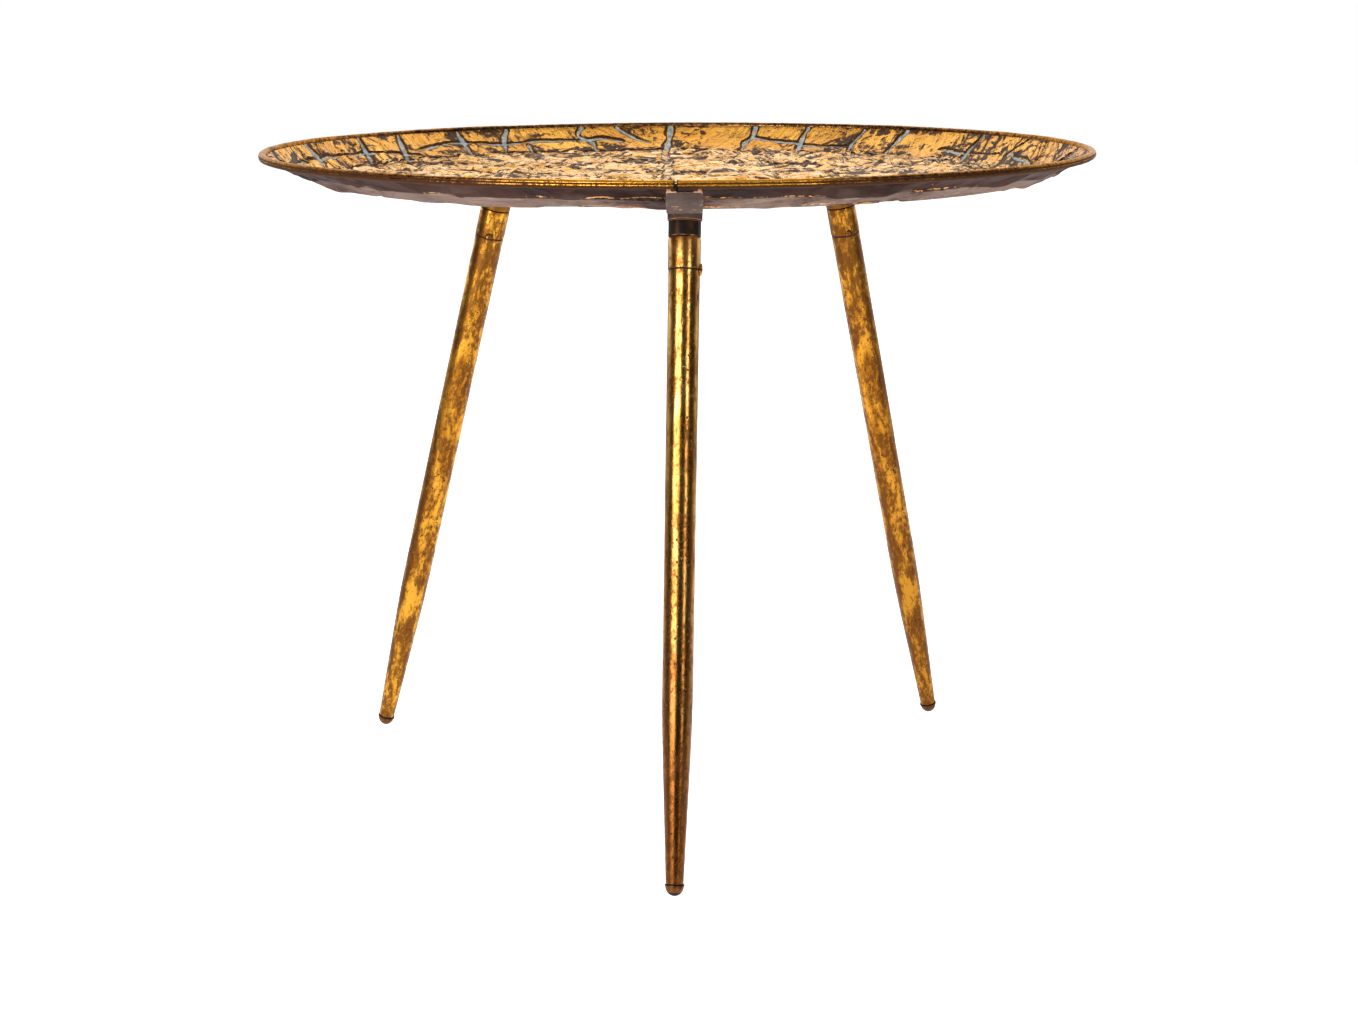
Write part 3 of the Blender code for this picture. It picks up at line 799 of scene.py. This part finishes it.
def tray(rings=240):
    """The sheet: its top on a fine grid, its back on one half as fine, and a wall round the edge."""
    plan, plan_under = disc_plan(rings), disc_plan(rings // 2)
    depth, border, groove = groove_masks(plan)
    height, hollow, along, across = relief(plan, depth)
    radius = np.linalg.norm(plan, axis=1)
    edge = np.clip((PAN_EDGE - radius) / 0.002, 0, 1)
    top = BASE_LEVEL + flange_height(radius) + height * edge

    out = np.linalg.norm(plan_under, axis=1)
    back, fold, lower = underside_relief(plan_under, groove_masks(plan_under)[0])
    sheet = SHEET * (1 + 0.08 * np.clip((out - BASE_RADIUS) / 0.01, 0, 1))
    side, side_under = 2 * rings + 1, rings + 1
    above = top.reshape(side, side)[::2, ::2].reshape(-1)
    under = BASE_LEVEL + flange_height(out) - sheet + back
    under = np.maximum(np.minimum(under, above - 0.0006), PAN_LOW[2] - 0.0012)

    count = len(plan)
    points = np.concatenate([np.c_[plan, top], np.c_[plan_under, under]])
    fine, coarse = border_loop(side), border_loop(side_under) + count
    after = np.roll(coarse, -1)
    wall = np.stack([after, np.roll(fine, -2)[::2], fine[1::2], fine[::2], coarse], axis=-1)
    upper, below = sheet_faces(side), sheet_faces(side_under, count, turned=True)
    faces = [*upper, *below, *wall]
    plain = np.clip((BASE_RADIUS - radius) / 0.012 + 0.6, 0, 1)
    ends = np.clip(plan[:, 0] ** 2 / RIM_RADIUS**2 * 1.4 - 0.35, 0, 1)
    drawn = {"groove": groove, "border": border, "hollow": hollow, "plain": plain}
    drawn |= {"along": along, "across": across, "ends": ends}
    attributes = {key: np.r_[values, np.zeros(len(plan_under))] for key, values in drawn.items()}
    attributes |= {"fold": np.r_[np.zeros(count), fold], "lower": np.r_[np.zeros(count), lower]}
    indices = np.array([0] * len(upper) + [1] * (len(below) + len(wall)), np.int32)
    found = [tray_top_material(), tray_under_material()]
    piece = make_object("tray_relief", points, faces, found, attributes=attributes, indices=indices)
    settle(piece, None, "table_top", "tray_pan")


def rim_ring(around=900, section=36):
    """Rolled edge with a crease along its outside, whose two ends almost meet over the front arm."""
    split = RING_SPLIT / RIM_RADIUS
    start = math.radians(-90.2)
    turn = start + split / 2 + np.linspace(0, 1, around) * (math.tau - split)
    angle = np.arange(section) * math.tau / section
    crease = 0.00060 * dip(angle - 0.22, 0.16)
    outward, upward = np.cos(angle), np.sin(angle)
    place = np.stack([np.cos(turn), np.sin(turn)], axis=-1) * RIM_RADIUS
    lumps = fractal(place / 0.018, 3, 91) * 0.00016
    beaten = facets(turn / 0.016, turn * 0, 93) * 0.00009
    size = RING_SECTION - 0.00012 + lumps[:, None] + beaten[:, None] - crease
    sway = fractal(place / 0.09, 2, 95) * 0.0003
    radius = RIM_RADIUS + size * outward - 0.0001
    level = RIM_LEVEL + sway[:, None] + size * upward
    points = np.stack([radius * np.cos(turn)[:, None], radius * np.sin(turn)[:, None], level], axis=-1)
    # Painted shade, partly patina: the ring's lower side and the line of its crease are painted dark brown,
    # and the ring a little darker away from the front.
    under = np.clip(-1.7 * np.sin(angle + 0.08), 0, 1)
    under = np.maximum(under, dip(angle - 0.24, 0.15))
    # Painted highlight: the ring stays bright gold only where it faces the front, and is dimmed to copper
    # further round.
    from_front = np.abs((turn - start + math.pi) % math.tau - math.pi)
    dimmed_off_front = np.clip((from_front - math.radians(12)) / math.radians(24), 0, 1)
    # Painted shadow: the ring's two end faces and a line along the lower side of its right end are painted
    # near black, as the shade in the gap at the split.
    low_line = dip((angle + 0.75 + math.pi) % math.tau - math.pi, 0.20)
    gap_shadow = low_line * (turn < start + 0.036)[:, None]
    gap_shadow = np.maximum(gap_shadow, ((turn < start + 0.0024) | (turn > start + math.tau - 0.0024))[:, None])
    under, dimmed_off_front = np.broadcast_arrays(under + 0.10 * dimmed_off_front[:, None], dimmed_off_front[:, None])
    attributes = {"patina_and_painted_shade": under.ravel(), "dimmed_off_front": dimmed_off_front.ravel(), "gap_shadow": gap_shadow.ravel()}
    faces, found = skin_faces(around, section), [rim_material()]
    piece = make_object("rim_ring_rolled", points.reshape(-1, 3), faces, found, attributes=attributes)
    settle(piece, None, "table_top", "rim_ring")


# ---------------- arms and legs


def collar(side, found):
    top, bottom = -GAP, -GAP - COLLAR_LENGTH
    outline = [(BORE_RADIUS, top), (FITTING_RADIUS, top), (FITTING_RADIUS, bottom), (BORE_RADIUS, bottom)]
    profile = rounded(outline, EDGE_ROUNDING)
    piece = turned_object(f"collar_ring_{side}", subdivided(profile, 0.002), 72, found, closed=True)
    settle(piece, side, f"{side}_collar", f"collar_{side}")


def ferrule(side, found):
    top = -COLLAR_LENGTH - 2 * GAP
    bottom = top - FERRULE_LENGTH
    end = bottom - SPIGOT_LENGTH
    outline = [(BORE_RADIUS, top), (FITTING_RADIUS, top), (FITTING_RADIUS, bottom), (SPIGOT_RADIUS, bottom)]
    profile = rounded([*outline, (SPIGOT_RADIUS, end), (BORE_RADIUS, end)], EDGE_ROUNDING)
    piece = turned_object(f"ferrule_sleeve_{side}", subdivided(profile, 0.002), 72, found, closed=True)
    settle(piece, side, f"{side}_leg", f"ferrule_{side}")


def foot_centre(side):
    """How far down its leg's axis the middle of a foot's dome is, as the dome touches the floor."""
    joint = JOINTS[f"{side}_leg_screw"]
    return (joint["pos_m"][2] - FOOT_RADIUS) / joint["axis"][2]


def tube(side, found, seed):
    """Leg tube with a long taper, small hammer marks and, on its inner side, a rolled seam."""
    top = -COLLAR_LENGTH - FERRULE_LENGTH - 3 * GAP
    end = foot_centre(side) + SHOULDER_LENGTH + GAP
    neck = end + TAPER_LENGTH
    outer = subdivided(rounded([*zip(TUBE_RADII, (top, neck, end))], 0.030, 8), 0.0028)
    inner = [outer[-1], (TUBE_RADII[1], neck), outer[0]]
    inner = [(radius - TUBE_WALL, level) for radius, level in inner]

    def shift(rings):
        skin = rings[: len(outer)]
        angle = np.arctan2(skin[..., 1], skin[..., 0])
        around = np.stack([np.cos(angle) * 1.2, np.sin(angle) * 1.2, skin[..., 2] / 0.030], axis=-1)
        marks = fractal(around, 3, seed) * 0.00011
        seam = 0.00018 * dip(angle - 1.9, 0.035)
        size = np.hypot(skin[..., 0], skin[..., 1])
        skin[..., :2] *= ((size + marks - seam) / size)[..., None]

    piece = turned_object(f"leg_{side}", outer + inner, 96, found, closed=True, shift=shift)
    settle(piece, side, f"{side}_leg", f"leg_tube_{side}")


def foot(side):
    """Round foot with a thin shoulder, on a plug that fills the tube's end."""
    centre = foot_centre(side)
    shoulder, tip = centre + SHOULDER_LENGTH, centre - FOOT_RADIUS
    turns = np.linspace(0, math.pi / 2 - 0.05, 12)
    dome = [(FOOT_RADIUS * math.cos(a), centre - FOOT_RADIUS * math.sin(a)) for a in turns]
    top = shoulder + PLUG_LENGTH
    outline = [(0.0001, top), (PLUG_RADIUS, top), (PLUG_RADIUS, shoulder), (SHOULDER_RADIUS, shoulder)]
    outline = rounded([*outline, (SHOULDER_RADIUS, centre), dome[0]], 0.0004)
    found = foot_material(side, tip)
    piece = turned_object(f"foot_{side}", outline + dome[1:] + [(0.0001, tip)], 48, found)
    settle(piece, side, f"{side}_leg", f"foot_plug_{side}")


def stud(side, found):
    """M10 x 1.5 rod with a real helical thread."""
    steps = 32
    levels = np.arange(STUD_TOP, STUD_END, -THREAD_PITCH / 8)[:, None]
    angle = np.arange(steps) * math.tau / steps
    phase = (levels / THREAD_PITCH - angle / math.tau) % 1.0
    tooth = np.clip(np.abs(phase - 0.5) * 2.6 - 0.25, 0, 1)
    lead = np.clip((STUD_TOP - levels) / THREAD_PITCH, 0, 1)
    radius = THREAD_ROOT + (THREAD_CREST - THREAD_ROOT) * tooth * lead - 0.0003 * (1 - lead)
    points = turned(radius, levels, steps).reshape(-1, 3)
    piece = make_object(f"threaded_stud_{side}", points, skin_faces(len(levels), steps), [found])
    settle(piece, side, f"{side}_leg", f"stud_{side}")


def tack(side, found):
    """Blob of braze across the line under the ferrule, as the CAD node places it."""
    low, high = (np.array(corner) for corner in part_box(f"tack_{side}"))
    inverse = leg_matrix(side).inverted()
    middle = np.array(inverse @ Vector((low + high) / 2))
    turn = math.atan2(middle[1], middle[0])
    rows, columns = 14, 28
    seat = FITTING_RADIUS + 0.0002
    slope = np.linspace(0, math.pi, rows)[:, None]
    spin = np.arange(columns) * math.tau / columns
    lump = 1 + 0.16 * np.sin(3 * spin + slope * 2) * np.sin(slope)
    radius = np.maximum(seat + 0.0013 * np.sin(slope) * np.cos(spin) * lump, seat + 0.00005)
    bend = turn + 0.0034 * np.sin(slope) * np.sin(spin) / seat
    level = middle[2] + 0.0044 * np.cos(slope) * lump
    points = np.stack([radius * np.cos(bend), radius * np.sin(bend), level], axis=-1).reshape(-1, 3)
    piece = make_object(f"braze_tack_{side}", points, side_faces(rows, columns), [found])
    settle(piece, side, f"{side}_leg", f"tack_{side}")


def socket(side, found):
    """Tapered boss under the arm, with its top cut off level and a rounded braze fillet round it."""
    inverse = leg_matrix(side).inverted()
    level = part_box(f"socket_{side}")[1][2] + 0.00005
    top_radius, face_radius = SOCKET_RADII
    steps, fillet_height, fillet_width = 72, 0.0026, 0.0016
    outline = rounded([(BORE_RADIUS, 0.0), (face_radius, 0.0), (top_radius, SOCKET_HEIGHT)], EDGE_ROUNDING)
    outline = subdivided(outline, 0.0015)[::-1]
    rings = turned_profile([*outline, (BORE_RADIUS, BORE_DEPTH), (0.0002, BORE_DEPTH + 0.0013)], steps)
    up = np.array(inverse.to_3x3() @ Vector((0, 0, 1)))
    origin = np.array(inverse @ Vector((0, 0, level)))
    for row in range(len(outline)):
        for point in rings[row]:
            over = (point - origin) @ up
            if over > 0:
                point[2] -= over / up[2]
            near = max(0.0, 1 + min(over, 0) / fillet_height)
            if row < len(outline) - 4 and near > 0:
                size = math.hypot(point[0], point[1])
                point[:2] *= (size + fillet_width * near**2.2) / size
                point[2] -= max((point - origin) @ up, 0) / up[2]
    faces = skin_faces(len(rings), steps)
    piece = make_object(f"socket_boss_{side}", rings.reshape(-1, 3), faces, [found], sharp=45)
    settle(piece, side, "table_top", f"socket_{side}")


def arm(side, found):
    """Flat bar along the underside, slightly uneven along its edges, with its corners rounded."""
    node = frame["nodes"][f"arm_{side}"]
    corners = np.array([tuple(node.matrix_world @ v.co) for v in node.data.vertices])[:, :2]
    along = np.linalg.svd(corners - corners.mean(axis=0), full_matrices=False)[2][0]
    along = along * np.sign(along @ np.array(JOINTS[f"{side}_leg_screw"]["pos_m"][:2]))
    across = np.array([-along[1], along[0]])
    aside, reach = corners @ across, corners @ along
    offset = (aside.max() + aside.min()) / 2
    inner, outer = reach.min(), reach.max()
    corner, half_width, half_thickness = 0.0006, np.ptp(aside) / 2, ARM_THICKNESS / 2
    section = []
    for sign_w, sign_h, start in ((1, 1, 0), (-1, 1, 90), (-1, -1, 180), (1, -1, 270)):
        for turn in np.radians(start + 30 * np.arange(4)):
            w = sign_w * (half_width - corner) + corner * math.cos(turn)
            section.append((w, sign_h * (half_thickness - corner) + corner * math.sin(turn)))
    # The first and last rows are inset end faces, and the flange has the finer rows.
    stations = [inner, *np.linspace(inner, 0.240, 40), *np.linspace(0.243, outer, 34), outer]
    rows = []
    for number, station in enumerate(stations):
        inset = 0.70 if number in (0, len(stations) - 1) else 1.0
        height, ahead = (float(flange_height(np.array([place]))[0]) for place in (station, station + 0.001))
        slope = math.atan2(ahead - height, 0.001)
        depth = SHEET + GAP + half_thickness + GAP
        radial = station + depth * math.sin(slope)
        level = BASE_LEVEL + height - depth * math.cos(slope)
        end = min((outer - station) / 0.004, (station - inner) / 0.006, 1.0)
        narrow = 1 - 0.10 * (1 - max(end, 0) ** 0.5)
        rough_edge = 0.00035 * float(smooth_noise(np.array([[station / 0.009, 3.0]]), 7)[0])
        for w, h in np.array(section) * inset:
            wide = w * narrow + math.copysign(rough_edge, w)
            x = along * (radial - h * math.sin(slope)) + across * (offset + wide)
            rows.append((x[0], x[1], level + h * math.cos(slope)))
    count, last = len(section), len(rows) - len(section)
    faces = [(a, d, c, b) for a, b, c, d in side_faces(len(stations), count)]
    faces += [tuple(reversed(range(count))), tuple(range(last, len(rows)))]
    piece = make_object(f"arm_bar_{side}", rows, faces, [found], sharp=50)
    settle(piece, None, "table_top", f"arm_{side}")


# ---------------- stage, light and camera


def stage():
    """White sweep that glows for the camera. In the metal it is a glowing patch under and behind the table.
    """
    corners = [(-6, -6, 0), (6, -6, 0), (6, 6, 0), (-6, 6, 0)]
    made = Surface("pale_floor", base_color=(0.9, 0.9, 0.9, 1.0), roughness=0.7, specular_ior_level=0.2)
    patch = made.nodes.new("ShaderNodeVectorMath")
    patch.operation = "LENGTH"
    made.links.new(made.stretch((0.62, 0.72, 1.0), offset=(-0.279, -0.216, 0.0)), patch.inputs[0])
    glow = made.band(patch.outputs["Value"], 0.45, 1.15, 0.75, 0.02)
    camera_ray = made.nodes.new("ShaderNodeLightPath").outputs["Is Camera Ray"]
    made.set(emission_color=(1.0, 1.0, 1.0, 1.0), emission_strength=made.most(glow, camera_ray))
    clear = made.nodes.new("ShaderNodeBsdfTransparent")
    choose = made.nodes.new("ShaderNodeMixShader")
    back = made.nodes.new("ShaderNodeNewGeometry").outputs["Backfacing"]
    made.feed(choose, {0: back, 1: made.shader.outputs[0], 2: clear.outputs[0]})
    made.links.new(choose.outputs[0], made.nodes["Material Output"].inputs["Surface"])
    make_object("floor", corners, [(0, 1, 2, 3)], [made.material], smooth=False)


def world():
    """White to the camera. In the metal it is a studio: a pale backdrop behind, a dark room in front."""
    made = bpy.data.worlds.new("studio")
    bpy.context.scene.world = made
    made.use_nodes = True
    nodes, links = made.node_tree.nodes, made.node_tree.links

    def node(kind, *sources, **inputs):
        found = nodes.new(f"ShaderNode{kind}")
        for source, socket in zip(sources, found.inputs):
            links.new(source, socket)
        for key, value in inputs.items():
            socket = found.inputs[key.replace("_", " ")]
            if isinstance(value, bpy.types.NodeSocket):
                links.new(value, socket)
            else:
                socket.default_value = value
        return found

    shown = nodes["Background"]
    shown.inputs["Color"].default_value = (1.0, 1.0, 1.0, 1.0)
    shown.inputs["Strength"].default_value = 1.0
    parts = node("SeparateXYZ", Vector=node("TexCoord").outputs["Generated"])
    back = node("MapRange", Value=parts.outputs["Y"], From_Min=-0.1, From_Max=0.80, To_Min=0.05, To_Max=1.40)
    low = node("MapRange", Value=parts.outputs["Z"], From_Min=0.25, From_Max=0.80, To_Min=1.0, To_Max=0.35)
    for ramp in (back, low):
        ramp.interpolation_type = "SMOOTHSTEP"
    light = node("Math", back.outputs[0], low.outputs[0])
    light.operation = "MULTIPLY"
    seen = node("Background", Color=(1.0, 0.99, 0.98, 1.0), Strength=light.outputs[0])
    camera_ray = node("LightPath").outputs["Is Camera Ray"]
    choose = node("MixShader", camera_ray, seen.outputs[0], shown.outputs[0])
    links.new(choose.outputs[0], nodes["World Output"].inputs["Surface"])


def softbox(name, place, aim, size, radiance):
    """A rectangular area light, as bright as radiance wherever it shows in a mirror."""
    data = bpy.data.lights.new(name, "AREA")
    data.shape = "RECTANGLE"
    data.size, data.size_y = size
    data.energy = radiance * math.pi * size[0] * size[1]
    obj = bpy.data.objects.new(name, data)
    obj.location = place
    obj.rotation_mode = "QUATERNION"
    obj.rotation_quaternion = (Vector(aim) - Vector(place)).to_track_quat("-Z", "Y")
    obj.visible_camera = False
    bpy.context.scene.collection.objects.link(obj)


def lights():
    """Two tall boxes in front make the streaks down the legs, and two wide ones lighten the tray."""
    middle = (0.0, -0.05, 0.30)
    softbox("key_left", (-1.15, -1.75, 0.80), middle, (1.35, 1.4), 7.0)
    softbox("fill_right", (1.25, -1.75, 0.78), middle, (0.36, 1.4), 5.0)
    softbox("overhead", (0.0, 1.7, 2.0), middle, (3.0, 1.5), 1.1)
    softbox("top", (0.0, -1.1, 2.4), middle, (2.6, 2.4), 0.7)


def camera():
    """The photo's camera, fitted to the rim, the feet and the tops of the legs."""
    distance, level = 5.880 * RIM_RADIUS, 1.994 * RIM_RADIUS
    pitch, roll, yaw = 12.52, 0.21, -0.055
    data = bpy.data.cameras.new("camera")
    data.lens = 63.27
    data.sensor_width = 36.0
    obj = bpy.data.objects.new("camera", data)
    obj.location = (0.0, -distance, level)
    obj.rotation_euler = [math.radians(turn) for turn in (90 - pitch, roll, yaw)]
    bpy.context.scene.collection.objects.link(obj)
    bpy.context.scene.camera = obj


camera()
world()
lights()
stage()
tray()
rim_ring()
# The front arm's material carries the painted shadow of the gap under the ring's split.
iron, iron_with_gap_shadow = iron_material("dark_patina"), iron_material("dark_patina_front_gap_shadow", True)
black, steel = collar_material(), steel_material()
for number, side_name in enumerate(SIDES):
    looks, in_front = LEG_LOOKS[side_name], side_name == "front"
    gold = leg_material(side_name, *looks)
    arm(side_name, iron_with_gap_shadow if in_front else iron)
    socket(side_name, iron)
    collar(side_name, black if in_front else leg_material(f"{side_name}_collar", COLLAR_STAIN, *looks[1:]))
    ferrule(side_name, gold)
    stud(side_name, steel)
    tube(side_name, gold, 101 + number)
    tack(side_name, gold)
    foot(side_name)
bpy.context.scene.view_settings.view_transform = "Standard"
